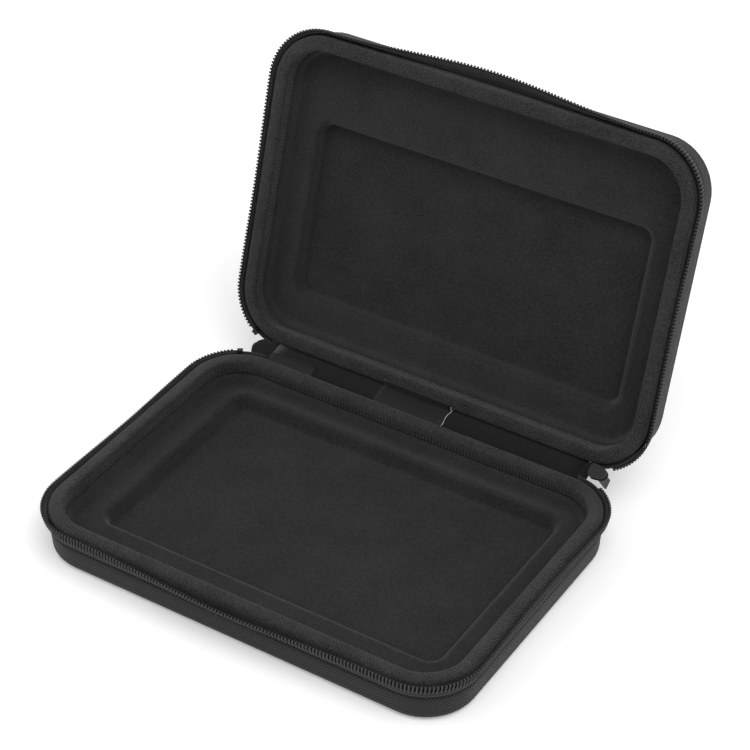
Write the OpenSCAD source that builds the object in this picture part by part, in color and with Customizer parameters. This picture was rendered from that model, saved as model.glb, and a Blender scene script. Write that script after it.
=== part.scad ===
// Zippered hard-shell carry case, standing open.
// Two moulded foam halves with a fabric skin, joined at the back by a fabric hinge.
// Origin: centre of the base's bottom face. +X right, +Y to the hinge, +Z up.

/* [Case] */
// Width over the rim binding
case_w = 240; // [200:2:300]
// Depth over the rim binding
case_d = 168.6; // [140:0.2:210]
// Height of one half, from its flat face to the crest of its binding
half_h = 25.5; // [24:0.5:32]
// Corner radius of the outline
corner_r = 27.5; // [20:0.5:40]
// Gap between the two bindings when the lid is shut
rim_gap = 1; // [0.8:0.1:3]

/* [Shell] */
// Thickness of the woven outer skin
cover_t = 0.7; // [0.5:0.1:1.2]
// Thickness of the foam wall
foam_t = 3.5; // [2.5:0.1:5]
// Thickness of the brushed lining
lining_t = 0.8; // [0.5:0.1:1.2]
// How far the wall leans in from the rim to the flat face
draft = 0.9; // [0:0.1:2]
// How far the wall swells out below the binding
belly = 1.3; // [0:0.1:1.5]
// Outer radius where the wall turns into the flat face
edge_r = 5; // [4:0.5:7]
// Air between layers that are glued together
glue_gap = 0.05; // [0.03:0.01:0.1]

/* [Recess] */
// Width of the recess in each half
recess_w = 193; // [150:1:205]
// Front edge of the recess in the base, from the centre
base_recess_front = 55; // [30:1:60]
// Back edge of the recess in the base, from the centre
base_recess_back = 65; // [30:1:66]
// Front edge of the recess in the lid, from the centre
lid_recess_front = 37; // [30:1:60]
// Back edge of the recess in the lid, from the centre
lid_recess_back = 58; // [30:1:66]
// Height of the foam step round the recess
step_h = 7; // [3:0.5:9]
// Corner radius of the recess
recess_r = 7; // [4:0.5:15]
// How far the recess wall leans in over its height
recess_draft = 1.2; // [0:0.1:2.5]
// How far the lined wall stands in below the binding
wall_swell = 2.2; // [0.5:0.1:3]
// How far the lined wall leans in from there to the step
wall_lean = 1.6; // [0:0.1:3]
// Radius where the step turns up into the wall
cove_r = 2; // [1:0.5:3]

/* [Binding] */
// Thickness of the binding tape
binding_t = 0.9; // [0.6:0.1:1.2]
// Height of the rounded crest
crest_h = 2.4; // [1.6:0.1:3]
// Depth of the binding down the outside
outer_leg = 8; // [6:0.5:10]
// Depth of the binding down the inside
inner_leg = 7.5; // [5:0.5:9]

/* [Zip] */
// Thickness of the zip tape
tape_t = 0.55; // [0.4:0.05:0.8]
// How far the tape stands out from the binding at the corners
flare = 2.6; // [2.2:0.1:4]
// Extra bulge of the base's tape along the front
base_bow_front = 3.2; // [0:0.2:5.4]
// Extra bulge of the base's tape along each side
base_bow_side = 1.6; // [0:0.2:5]
// Extra bulge of the lid's tape along the front
lid_bow_front = 5; // [0:0.2:5.4]
// Extra bulge of the lid's tape along each side
lid_bow_side = 1.8; // [0:0.2:5]
// Spacing of the coil's teeth
tooth_pitch = 1.85; // [1.6:0.05:3]
// Length of one tooth across the tape
tooth_len = 4.6; // [3.5:0.1:5.5]
// Radius of the coil's wire
tooth_r = 0.6; // [0.45:0.05:0.7]
// Radius of the head at the end of each tooth
head_r = 0.78; // [0.6:0.02:0.85]
// Gap from the teeth to the plane where the halves meet
tooth_gap = 0.45; // [0.4:0.05:1]
// Length of the stop at the left end of the zip
stop_len = 3; // [2:0.1:5]
// Angle on the back corner at which the zip ends
zip_end_angle = 61; // [50:1:62]

/* [Hinge] */
// Angle at which the lid stands open
open_angle = 107.3; // [95:0.1:125]
// Hinge line behind the binding
hinge_back = 5.9; // [5:0.1:9]
// Hinge line below the plane where the halves meet
hinge_drop = 3.5; // [0:0.1:4]
// Width of the hinge fabric
hinge_w = 186; // [150:2:186]
// Thickness of each hinge fabric
hinge_t = 0.6; // [0.4:0.1:0.9]
// Width of the bare woven label
label_w = 41; // [20:1:60]
// Middle of the label, from the centre
label_x = -6.5; // [-40:0.5:40]
// Thickness of the label
label_t = 0.35; // [0.2:0.05:0.6]
// Width of the bare care tag
tag_w = 28; // [15:1:32]
// Middle of the care tag, from the centre
tag_x = -79; // [-79:1:-60]
// Length of the fabric end past the hinge on the left
left_end_len = 13; // [8:0.5:14]
// Length of the fabric end past the hinge on the right
right_end_len = 4; // [2:0.5:5]

/* [Slider] */
// Length of the slider
slider_len = 9.2; // [8:0.1:9.5]
// How far the slider's middle lies inside the hinge line
slider_in = 2.5; // [2:0.1:2.8]
// Width of the slider at its wide end
slider_w = 7.2; // [7:0.2:9]
// Width of the slider at its narrow end
slider_tail_w = 6.2; // [5:0.2:7]
// Thickness over both wings
slider_h = 5; // [4.4:0.1:6]
// Thickness of one wing
wing_t = 1.1; // [0.8:0.1:1.4]
// Diameter of the pull's wire eye
bail_d = 1.3; // [1:0.1:1.6]
// Length of the pull tab
pull_len = 15; // [10:0.5:16]
// Width of the pull tab
pull_w = 5; // [3.5:0.1:5.4]
// Thickness of the pull tab
pull_t = 1.2; // [0.8:0.1:1.6]

/* [Hidden] */

$fn = 48;
sliver = 0.01;                      // makes a cutter pass the face that it cuts
arc_steps = 6;                      // straight pieces in each small fillet
wall_t = cover_t + foam_t + lining_t;
sew_gap = 0.1;                      // air on each side of the sewn zip tape
coil_gap = 0.12;                    // air between the zip tape and the heads of the coil
stop_gap = 0.15;                    // air on each side of the tape in the stop's slot
rim_inset = binding_t + tape_t + 2 * sew_gap;
binding_w = rim_inset + wall_t + binding_t + glue_gap;
rim_top = half_h - crest_h;         // top of the shell under the binding
zip_plane = half_h + rim_gap / 2;
hinge_y = case_d / 2 + hinge_back;
hinge_z = zip_plane - hinge_drop;
shelf_z = wall_t + step_h;          // top of the step, lined
seam_out = 0.75;                    // the zip tape's fold, outside the binding
seam_z = half_h - outer_leg - 0.3;  // height of the fold, below the binding
neck_h = 2.4;                       // height over which the wall draws in to the binding
swell_top = seam_z - 0.6 - neck_h;  // top of the swollen wall, below the tape

// Colours of the model, as the photograph shows them
skin_colour = [0.13, 0.13, 0.14];
lining_colour = [0.10, 0.10, 0.105];
foam_colour = [0.17, 0.17, 0.17];
binding_colour = [0.16, 0.16, 0.165];
tape_colour = [0.09, 0.09, 0.095];
coil_colour = [0.06, 0.06, 0.065];
metal_colour = [0.14, 0.14, 0.145];
label_colour = [0.05, 0.05, 0.055];

// ---- Shapes that both halves share ----

// Sweeps a profile round a rounded rectangle. The profile's x runs outwards from the outline.
module ring(w, d, r) {
    for (side = [0:3]) {
        half = side % 2 == 0 ? [w / 2, d / 2] : [d / 2, w / 2];
        rotate([0, 0, 90 * side]) {
            translate([half[0], half[1] - r, 0]) rotate([90, 0, 0])
                linear_extrude(2 * (half[1] - r)) children();
            translate([half[0] - r, half[1] - r, 0])
                rotate_extrude(angle = 90) translate([r, 0]) children();
        }
    }
}

// A solid rounded rectangle whose edge follows a list of [outward offset, height], from the bottom up
module puck(w, d, r, edge) {
    last = len(edge) - 1;
    for (side = [0, 1]) {
        half = side == 0 ? [w / 2, d / 2] : [d / 2, w / 2];
        rotate([0, 0, 90 * side]) translate([0, half[1] - r, 0]) rotate([90, 0, 0])
            linear_extrude(2 * (half[1] - r))
                polygon(concat([for (p = edge) [half[0] + p[0], p[1]]],
                               [for (i = [last:-1:0]) [-half[0] - edge[i][0], edge[i][1]]]));
    }
    for (side = [0:3]) {
        half = side % 2 == 0 ? [w / 2, d / 2] : [d / 2, w / 2];
        rotate([0, 0, 90 * side]) translate([half[0] - r, half[1] - r, 0])
            rotate_extrude(angle = 90)
                polygon(concat([[0, edge[0][1]]], [for (p = edge) [r + p[0], p[1]]],
                               [[0, edge[last][1]]]));
    }
}

// Outward offset of the lower wall, which swells past the rim and leans in towards the flat face
function wall_out(z) = belly - rim_inset - draft * (swell_top - z) / swell_top;

// Edge of the shell at a depth below its outer skin: flat face, rounded edge, swollen wall, neck
function shell_edge(depth, top) =
    let (r = max(edge_r - depth, 0.6), foot = wall_out(edge_r) - depth)
    concat([for (i = [0:arc_steps]) let (a = -90 + 90 * i / arc_steps)
                [foot - r + r * cos(a), depth + r + r * sin(a)]],
           [[belly - rim_inset - depth, swell_top]],
           [for (i = [1:arc_steps]) let (u = i / arc_steps)
                [belly * (1 + cos(180 * u)) / 2 - rim_inset - depth, swell_top + neck_h * u]],
           [[-rim_inset - depth, top]]);

// The shell's solid at a depth below its outer skin
module shell_solid(depth, top) {
    puck(case_w, case_d, corner_r, shell_edge(depth, top));
}

// Edge of the upper room: cove at the step, leaning wall, and a neck behind the binding
function room_edge(depth, top) =
    let (r = cove_r + wall_t - depth, neck = -rim_inset - depth, foot_z = shelf_z - wall_t + depth,
         swell = neck - wall_swell, foot = swell - wall_lean, leg_end = half_h - inner_leg)
    concat([for (i = [0:arc_steps]) let (a = -90 + 90 * i / arc_steps)
                [foot - r + r * cos(a), foot_z + r + r * sin(a)]],
           [for (i = [0:arc_steps]) let (u = i / arc_steps)
                [swell + wall_swell * (1 - cos(180 * u)) / 2, leg_end - 2.2 + 2 * u]],
           [[neck, top]]);

// The recess as a solid, grown by an amount: a leaning wall down to the lined floor
module recess_solid(front, back, grow, top) {
    floor_z = wall_t - grow;
    translate([0, (back - front) / 2, 0])
        puck(recess_w, front + back, recess_r,
             [[grow - recess_draft, floor_z], [grow, shelf_z - grow], [grow, top]]);
}

// Everything open inside a half, grown by an amount
module room(front, back, grow, top) {
    puck(case_w, case_d, corner_r, room_edge(wall_t - grow, top));
    recess_solid(front, back, grow, shelf_z - grow + cove_r);
}

module half_cover() {
    difference() {
        shell_solid(0, rim_top);
        shell_solid(cover_t, rim_top + 1);
    }
}

// Everything below the lined step
module below_step(gap) {
    translate([-case_w, -case_d, 0]) cube([2 * case_w, 2 * case_d, shelf_z - lining_t - gap]);
}

// Moulded foam: it follows the skin outside, and the lined room above the step
module half_foam() {
    difference() {
        shell_solid(cover_t + glue_gap, rim_top);
        intersection() {
            shell_solid(cover_t + foam_t, rim_top);
            below_step(0);
        }
        puck(case_w, case_d, corner_r, room_edge(wall_t - lining_t - glue_gap, rim_top + 1));
    }
}

// Foam frame on the floor of the shell that makes the step round the recess
module half_riser(front, back) {
    difference() {
        intersection() {
            shell_solid(cover_t + foam_t + glue_gap, rim_top);
            below_step(glue_gap);
        }
        recess_solid(front, back, lining_t + glue_gap, shelf_z + 1);
    }
}

module half_lining(front, back) {
    difference() {
        intersection() {
            room(front, back, lining_t, rim_top);
            shell_solid(cover_t + foam_t + glue_gap, rim_top);
        }
        room(front, back, 0, rim_top + 1);
    }
}

// Tape folded over the rim, with a rounded crest
module binding_profile() {
    mid = -binding_w / 2;
    shoulder = half_h - crest_h;
    outer_a = binding_w / 2;
    inner_a = outer_a - binding_t;
    inner_b = crest_h - binding_t;
    steps = 12;
    polygon(concat(
        [[0, half_h - outer_leg]],
        [for (i = [0:steps]) let (a = 180 * i / steps)
            [mid + outer_a * cos(a), shoulder + crest_h * sin(a)]],
        [[-binding_w, half_h - inner_leg], [binding_t - binding_w, half_h - inner_leg]],
        [for (i = [steps:-1:0]) let (a = 180 * i / steps)
            [mid + inner_a * cos(a), shoulder + inner_b * sin(a)]],
        [[-binding_t, half_h - outer_leg]]));
}

module half_binding() {
    ring(case_w, case_d, corner_r) binding_profile();
}

// ---- The zip's path: from the right end of the hinge, round the front, to the left end ----
zip_a = case_w / 2 + flare;
zip_b = case_d / 2 + flare;
zip_r = corner_r + flare;
end_run = zip_r * zip_end_angle * PI / 180;
turn_run = zip_r * PI / 2;
side_run = 2 * (zip_b - zip_r);
front_run = 2 * (zip_a - zip_r);
zip_run = 2 * end_run + 2 * turn_run + 2 * side_run + front_run;
s_side = end_run;
s_turn = s_side + side_run;
s_front = s_turn + turn_run;

// Bulge of the tape, which is largest in the middle of a straight side
function bulge(u, most) = most * (1 - cos(360 * u)) / 2;
function degrees_of(run) = run / zip_r * 180 / PI;

// Place on the first half of the path: [x, y, heading of the outward side]
function half_place(s, bow_front, bow_side) =
    s < s_side ?
        let (a = zip_end_angle - degrees_of(s))
        [zip_a - zip_r + zip_r * cos(a), zip_b - zip_r + zip_r * sin(a), a]
    : s < s_turn ?
        let (u = (s - s_side) / side_run)
        [zip_a + bulge(u, bow_side), zip_b - zip_r - (s - s_side), 0]
    : s < s_front ?
        let (a = -degrees_of(s - s_turn))
        [zip_a - zip_r + zip_r * cos(a), -zip_b + zip_r + zip_r * sin(a), a]
    :
        let (u = (s - s_front) / front_run)
        [zip_a - zip_r - (s - s_front), -zip_b - bulge(u, bow_front), -90];

function zip_place(s, bow_front, bow_side) =
    s <= zip_run / 2 ? half_place(s, bow_front, bow_side)
    : let (p = half_place(zip_run - s, bow_front, bow_side)) [-p[0], p[1], 180 - p[2]];

// Distances along the path at which the tape has a section: close together in the turns
turn_steps = 14;
side_steps = 10;
front_steps = 16;
first_stations = concat(
    [for (i = [0:turn_steps - 1]) s_side * i / turn_steps],
    [for (i = [0:side_steps - 1]) s_side + side_run * i / side_steps],
    [for (i = [0:turn_steps - 1]) s_turn + turn_run * i / turn_steps],
    [for (i = [0:front_steps / 2]) s_front + front_run * i / front_steps]);
stations = concat(first_stations,
    [for (i = [len(first_stations) - 2:-1:0]) zip_run - first_stations[i]]);

// The tape is folded out of the seam and leans outwards by as much as its edge stands off.
// It keeps its width, so its edge drops where it bulges.
tooth_top = zip_plane - tooth_gap;
tape_w = norm([flare - seam_out, tooth_top - seam_z]);
function lean(out) = asin((out - seam_out) / tape_w);

// A point in the plane across the zip: along the leaning tape, and out from its outer face
function on_tape(out, along, off) =
    let (a = lean(out))
    [seam_out + along * sin(a) + off * cos(a), seam_z + along * cos(a) - off * sin(a)];

// Section of the tape: [outward from the binding, height]
function tape_section(out) = [
    [-binding_t - sew_gap, half_h - 4],
    [-binding_t - sew_gap - tape_t, half_h - 4],
    [-binding_t - sew_gap - tape_t, seam_z - 0.2],
    [-binding_t, seam_z - 0.75],
    [seam_out - 0.1, seam_z - 0.55],
    on_tape(out, 1, 0),
    on_tape(out, tape_w - 0.4, 0),
    on_tape(out, tape_w - 0.4, -tape_t),
    on_tape(out, 1, -tape_t),
    [-0.05, seam_z + 0.15],
    [-binding_t - sew_gap, seam_z + 0.15]];

function path_bulge(s, bow_front, bow_side) =
    let (p = zip_place(s, bow_front, bow_side), q = zip_place(s, 0, 0))
    norm([p[0] - q[0], p[1] - q[1]]);

module half_tape(bow_front, bow_side) {
    rings = [for (s = stations)
        let (p = zip_place(s, bow_front, bow_side), out = flare + path_bulge(s, bow_front, bow_side))
        [for (q = tape_section(out)) [p[0] + (q[0] - out) * cos(p[2]), p[1] + (q[0] - out) * sin(p[2]), q[1]]]];
    n = len(rings[0]);
    m = len(rings);
    polyhedron(
        points = [for (ring_points = rings) for (p = ring_points) p],
        faces = concat(
            [[for (i = [0:n - 1]) i]],
            [for (k = [0:m - 2]) for (i = [0:n - 1])
                [k * n + i, (k + 1) * n + i, (k + 1) * n + (i + 1) % n, k * n + (i + 1) % n]],
            [[for (i = [n - 1:-1:0]) (m - 1) * n + i]]));
}

// Puts a child on the tape at a distance along the zip: X out of its face, Z up its width
module at_tape(s, bow_front, bow_side) {
    p = zip_place(s, bow_front, bow_side);
    out = flare + path_bulge(s, bow_front, bow_side);
    back = out - seam_out;
    translate([p[0] - back * cos(p[2]), p[1] - back * sin(p[2]), seam_z])
        rotate([0, 0, p[2]]) rotate([0, lean(out), 0]) children();
}

module half_coil(bow_front, bow_side) {
    coil_run = zip_run - stop_len - 2 * head_r - 0.4;
    count = floor(coil_run / tooth_pitch) + 1;
    for (i = [0:count - 1]) {
        at_tape(head_r + i * tooth_pitch, bow_front, bow_side)
            translate([head_r + coil_gap, 0, tape_w - tooth_len]) {
                cylinder(h = tooth_len - head_r, r = tooth_r, $fn = 16);
                translate([0, 0, tooth_len - head_r]) sphere(r = head_r, $fn = 16);
            }
    }
}

// Moulded stop that is pressed over the tape at its left end
module half_stop(bow_front, bow_side) {
    stop_h = tooth_len - 0.6;
    at_tape(zip_run - stop_len / 2, bow_front, bow_side) difference() {
        translate([-tape_t - 0.9, -stop_len / 2, tape_w - stop_h]) cube([0.9 + tape_t + 1.7, stop_len, stop_h]);
        translate([-tape_t - stop_gap, -stop_len / 2 - 1, tape_w - stop_h - 1])
            cube([tape_t + 2 * stop_gap, stop_len + 2, 1 + stop_h - 0.25]);
    }
}

// Turns a half into the lid, shut over the base, then swings it open on the hinge line
module as_lid() {
    translate([0, hinge_y, hinge_z]) rotate([-open_angle, 0, 0]) translate([0, -hinge_y, -hinge_z])
        translate([0, 0, 2 * zip_plane]) mirror([0, 0, 1]) children();
}

// ---- Base ----
module base_cover() { color(skin_colour) half_cover(); }
module base_foam() { color(foam_colour) half_foam(); }
module base_riser() { color(foam_colour) half_riser(base_recess_front, base_recess_back); }
module base_lining() { color(lining_colour) half_lining(base_recess_front, base_recess_back); }
module base_binding() { color(binding_colour) half_binding(); }
module base_zip_tape() { color(tape_colour) half_tape(base_bow_front, base_bow_side); }
module base_zip_coil() { color(coil_colour) half_coil(base_bow_front, base_bow_side); }
module base_zip_stop() { color(coil_colour) half_stop(base_bow_front, base_bow_side); }

// ---- Lid ----
module lid_cover() { color(skin_colour) as_lid() half_cover(); }
module lid_foam() { color(foam_colour) as_lid() half_foam(); }
module lid_riser() { color(foam_colour) as_lid() half_riser(lid_recess_front, lid_recess_back); }
module lid_lining() { color(lining_colour) as_lid() half_lining(lid_recess_front, lid_recess_back); }
module lid_binding() { color(binding_colour) as_lid() half_binding(); }
module lid_zip_tape() { color(tape_colour) as_lid() half_tape(lid_bow_front, lid_bow_side); }
module lid_zip_coil() { color(coil_colour) as_lid() half_coil(lid_bow_front, lid_bow_side); }
module lid_zip_stop() { color(coil_colour) as_lid() half_stop(lid_bow_front, lid_bow_side); }

// ---- Hinge fabric, in the plane across the hinge line: [y, z] ----

// Where a point of the shut lid, given as its mirror point on the base, stands when the lid is open
function on_lid(p) =
    let (y = p[0] - hinge_y, z = 2 * zip_plane - p[1] - hinge_z)
    [hinge_y + y * cos(open_angle) + z * sin(open_angle),
     hinge_z - y * sin(open_angle) + z * cos(open_angle)];

function unit(v) = v / norm(v);
function left_of(v) = [-v[1], v[0]];
function normal_at(path, i) =
    let (a = path[max(i - 1, 0)], b = path[min(i + 1, len(path) - 1)]) left_of(unit(b - a));

// A strip of fabric along a path, between two distances on its left side
module strip(path, low, high, width, middle) {
    translate([middle - width / 2, 0, 0]) rotate([90, 0, 90]) linear_extrude(width)
        polygon(concat([for (i = [0:len(path) - 1]) path[i] + low * normal_at(path, i)],
                       [for (i = [len(path) - 1:-1:0]) path[i] + high * normal_at(path, i)]));
}

// Fabric lies on the outer face of each back leg
back_face = case_d / 2 + 0.15;
leg_foot = half_h - outer_leg + 0.6;

// Smooth path from one leg to the other, which leaves each leg along its face
valley_steps = 12;
function valley() =
    let (a = [back_face, half_h - 4], b = [back_face, half_h - 1.8], c = on_lid(b), d = on_lid(a))
    [for (i = [0:valley_steps]) let (t = i / valley_steps)
        pow(1 - t, 3) * a + 3 * t * pow(1 - t, 2) * b + 3 * t * t * (1 - t) * c + pow(t, 3) * d];

function beside(path, gap) = [for (i = [0:len(path) - 1]) path[i] - gap * normal_at(path, i)];

liner_path = concat([[back_face, leg_foot]], valley(), [on_lid([back_face, leg_foot])]);
module hinge_liner() { color(tape_colour) strip(liner_path, -hinge_t, 0, hinge_w, 0); }

// The outer strip lies behind the liner and reaches down to the skin of both backs
spine_gap = hinge_t + 0.1;
spine_foot = swell_top - 3;
function back_skin(z) = case_d / 2 + (z < swell_top ? wall_out(z) : belly - rim_inset) + 0.15;
spine_low = [for (z = [spine_foot, swell_top]) [back_skin(z), z]];
spine_path = concat(spine_low, [[back_face + spine_gap, leg_foot - 0.4]], beside(valley(), spine_gap),
                    [on_lid([back_face + spine_gap, leg_foot - 0.4])],
                    [for (i = [1:-1:0]) on_lid(spine_low[i])]);
module hinge_spine() { color(skin_colour) strip(spine_path, -hinge_t, 0, hinge_w, 0); }

// Bare label sewn across the valley, clear of both bindings
label_path = [for (i = [2:valley_steps - 2]) valley()[i]];
module woven_label() { color(label_colour) strip(label_path, 0.08, 0.08 + label_t, label_w, label_x); }

// Bare care tag sewn to the base's side of the valley
tag_path = [for (i = [2:6]) valley()[i]];
module care_tag() { color(label_colour) strip(tag_path, 0.08, 0.08 + label_t, tag_w, tag_x); }

// Fabric ends that close the hinge up to the zip: rounded on the left, cut straight at the slider
end_t = 1.2;
module hinge_end(side, length, rounded) {
    a = valley()[2];
    b = valley()[valley_steps - 2];
    middle = (a + b) / 2;
    width = norm(b - a);
    tilt = atan2(b[1] - a[1], b[0] - a[0]);
    translate([side * (hinge_w / 2 + 0.2), middle[0], middle[1] - end_t / 2]) rotate([tilt, 0, 0])
        linear_extrude(end_t) intersection() {
            if (rounded) {
                translate([side * (length - width / 2), 0]) circle(d = width);
                translate([side > 0 ? 0 : width / 2 - length, -width / 2])
                    square([length - width / 2, width]);
            } else {
                translate([side > 0 ? 0 : -length, -width / 2]) square([length, width]);
            }
        }
}
module hinge_end_left() { color(tape_colour) hinge_end(-1, left_end_len, true); }
module hinge_end_right() { color(tape_colour) hinge_end(1, right_end_len, false); }

// ---- Slider, parked at the right end of the zip ----
// Placed from the hinge line: X along the zip, Y out of the case, Z across the zip
slider_x = hinge_w / 2 + 0.2 + right_end_len + 0.3;
module at_slider() {
    translate([slider_x, hinge_y, hinge_z]) rotate([-open_angle / 2, 0, 0])
        translate([0, -slider_in, hinge_drop]) children();
}

module wing() {
    rotate([90, 0, 0]) linear_extrude(wing_t) hull() {
        translate([slider_len - slider_tail_w / 2, 0]) circle(d = slider_tail_w);
        translate([2, slider_w / 2 - 2]) circle(r = 2);
        translate([2, 2 - slider_w / 2]) circle(r = 2);
    }
}

module slider_body() {
    color(metal_colour) at_slider() {
        translate([0, slider_h / 2, 0]) wing();
        translate([0, wing_t - slider_h / 2, 0]) wing();
        translate([2.2, slider_h / 2 - wing_t / 2, 0]) rotate([90, 0, 0]) cylinder(h = slider_h - wing_t, d = 2.2);
    }
}

// Arched bridge on the outer wing that holds the pull
swing_gap = 0.1;                    // air on each side of the bridge, inside the wire eye
bridge_l = 6;
bridge_h = 3;
bridge_t = 1.1;                     // thickness of the bridge's roof
bridge_w = pull_w - 2 * bail_d - 2 * swing_gap;
bridge_x = 1.6;                     // start of the bridge along the slider
module slider_bridge() {
    post = 1.2;
    color(metal_colour) at_slider()
        translate([bridge_x, slider_h / 2 + glue_gap, -bridge_w / 2]) difference() {
            cube([bridge_l, bridge_h, bridge_w]);
            translate([post, -1, -1]) cube([bridge_l - 2 * post, bridge_h - bridge_t + 1, bridge_w + 2]);
        }
}

// Pull tab with a wire eye that hangs from the bridge and swings clear of the bridge's corners
eye_to_corner = norm([bridge_l / 2, (bridge_h + bridge_t) / 2]);
plate_start = eye_to_corner + 0.35;
module pull_tab() {
    eye_y = slider_h / 2 + glue_gap + (bridge_h - bridge_t) / 2;
    color(metal_colour) at_slider() translate([bridge_x + bridge_l / 2, eye_y, 0]) {
        translate([0, 0, -pull_w / 2]) cylinder(h = pull_w, d = bail_d);
        for (side = [-1, 1])
            translate([-bail_d / 2, 0, side * (pull_w / 2 - bail_d / 2) - bail_d / 2])
                cube([bail_d, plate_start + 0.6, bail_d]);
        translate([-pull_t / 2, plate_start, -pull_w / 2]) cube([pull_t, pull_len - plate_start, pull_w]);
    }
}

base_cover();
base_foam();
base_riser();
base_lining();
base_binding();
base_zip_tape();
base_zip_coil();
base_zip_stop();
lid_cover();
lid_foam();
lid_riser();
lid_lining();
lid_binding();
lid_zip_tape();
lid_zip_coil();
lid_zip_stop();
hinge_spine();
hinge_liner();
hinge_end_left();
hinge_end_right();
woven_label();
care_tag();
slider_body();
slider_bridge();
pull_tab();
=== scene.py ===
import math

import bmesh
import bpy
from mathutils import Matrix, Vector


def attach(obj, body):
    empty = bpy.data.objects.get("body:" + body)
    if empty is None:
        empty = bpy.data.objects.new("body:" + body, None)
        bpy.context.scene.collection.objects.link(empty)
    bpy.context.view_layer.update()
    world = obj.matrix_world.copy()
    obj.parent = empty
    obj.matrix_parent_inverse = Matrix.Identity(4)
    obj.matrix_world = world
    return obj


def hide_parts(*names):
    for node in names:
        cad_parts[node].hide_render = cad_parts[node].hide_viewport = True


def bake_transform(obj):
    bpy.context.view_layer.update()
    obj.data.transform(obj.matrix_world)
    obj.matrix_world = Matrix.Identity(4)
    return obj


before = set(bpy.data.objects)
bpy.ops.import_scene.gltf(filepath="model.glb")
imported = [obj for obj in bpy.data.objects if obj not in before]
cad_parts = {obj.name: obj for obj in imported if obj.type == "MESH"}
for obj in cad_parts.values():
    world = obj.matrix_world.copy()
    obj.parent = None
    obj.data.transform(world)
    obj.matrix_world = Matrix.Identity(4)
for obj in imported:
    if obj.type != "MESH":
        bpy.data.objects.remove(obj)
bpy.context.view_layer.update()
scene = bpy.context.scene

# ---------------------------------------------------------------- Camera
# A long lens stands at the case's front right, a little over a metre away and well above it,
# so that both trays are seen from inside.
aim = Vector((-0.01229, 0.06465, 0.05851))
azimuth, elevation, camera_distance = math.radians(32.4), math.radians(36.91), 1.2428
toward_camera = Vector((math.sin(azimuth) * math.cos(elevation),
                        -math.cos(azimuth) * math.cos(elevation), math.sin(elevation)))
camera_data = bpy.data.cameras.new("camera")
camera_data.lens = 119.0
camera_data.sensor_width = 36.0
camera = bpy.data.objects.new("camera", camera_data)
camera.location = aim + camera_distance * toward_camera
camera.rotation_euler = toward_camera.to_track_quat("Z", "Y").to_euler()
scene.collection.objects.link(camera)
scene.camera = camera

# ---------------------------------------------------------------- Outer skin of both halves
# Woven nylon laminated to the moulded foam. It is drawn in under the rim binding, swells a little
# past it and turns with a soft radius into the flat face. Lengths here are in millimetres.
case_w, case_d, corner_r, half_h = 240.0, 168.6, 27.5, 25.5
closing_z = half_h + 0.5
hinge_y, hinge_z = case_d / 2 + 5.9, closing_z - 3.5
open_angle = math.radians(107.3)
to_metres = Matrix.Scale(0.001, 4)
on_lid = (Matrix.Translation((0, hinge_y, hinge_z)) @ Matrix.Rotation(-open_angle, 4, "X")
          @ Matrix.Translation((0, -hinge_y, -hinge_z)) @ Matrix.Translation((0, 0, 2 * closing_z))
          @ Matrix.Scale(-1, 4, (0, 0, 1)))
place_of = {"base": to_metres, "lid": to_metres @ on_lid}


def cross_section(bm, points, x, y, closed=False):
    """Lays a profile of [outward offset, height] and keeps the length along it for the cloth's weave."""
    across = bm.verts.layers.float.get("across") or bm.verts.layers.float.new("across")
    verts, run = [], 0.0
    for i, (out, z) in enumerate(points):
        if i:
            run += math.dist(points[i - 1], points[i])
        vert = bm.verts.new((x + out, y, z))
        vert[across] = run
        verts.append(vert)
    pairs = list(zip(verts, verts[1:])) + ([(verts[-1], verts[0])] if closed else [])
    return verts + [bm.edges.new(pair) for pair in pairs]


def carry(bm, geom, steps, along=(0, 0, 0), centre=(0, 0, 0), turn=0.0):
    """Carries the last cross-section straight along, or round a corner's centre."""
    done = bmesh.ops.spin(bm, geom=geom, cent=centre, axis=(0, 0, 1), angle=turn,
                          dvec=Vector(along) / steps, steps=steps, use_merge=False)
    return done["geom_last"]


def ring(bm, points, width, depth, radius, middle_y=0.0, steps=(12, 28, 20)):
    """Carries a cross-section once round a rounded rectangle. The steps are those of a corner, a long
    side and a short side."""
    a, b = width / 2 - radius, depth / 2 - radius
    geom = cross_section(bm, points, width / 2, middle_y - depth / 2 + radius)
    legs = [((0, 2 * b), steps[2], (a, b)), ((-2 * a, 0), steps[1], (-a, b)),
            ((0, -2 * b), steps[2], (-a, -b)), ((2 * a, 0), steps[1], (a, -b))]
    for along, along_steps, (x, y) in legs:
        geom = carry(bm, geom, along_steps, along=(*along, 0))
        geom = carry(bm, geom, steps[0], centre=(x, y + middle_y, 0), turn=math.pi / 2)
    bmesh.ops.remove_doubles(bm, verts=bm.verts, dist=0.002)


def open_loop(bm, height):
    """The open edges at a height."""
    return [e for e in bm.edges if e.is_boundary and all(abs(v.co.z - height) < 0.01 for v in e.verts)]


def face_out(bm, wanted, weight=lambda face: face.calc_area()):
    """Makes the normals agree, and turns them all if the face of most weight points the wrong way."""
    bmesh.ops.recalc_face_normals(bm, faces=bm.faces)
    bm.normal_update()
    if not wanted(max(bm.faces, key=weight).normal):
        bmesh.ops.reverse_faces(bm, faces=bm.faces)


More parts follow.
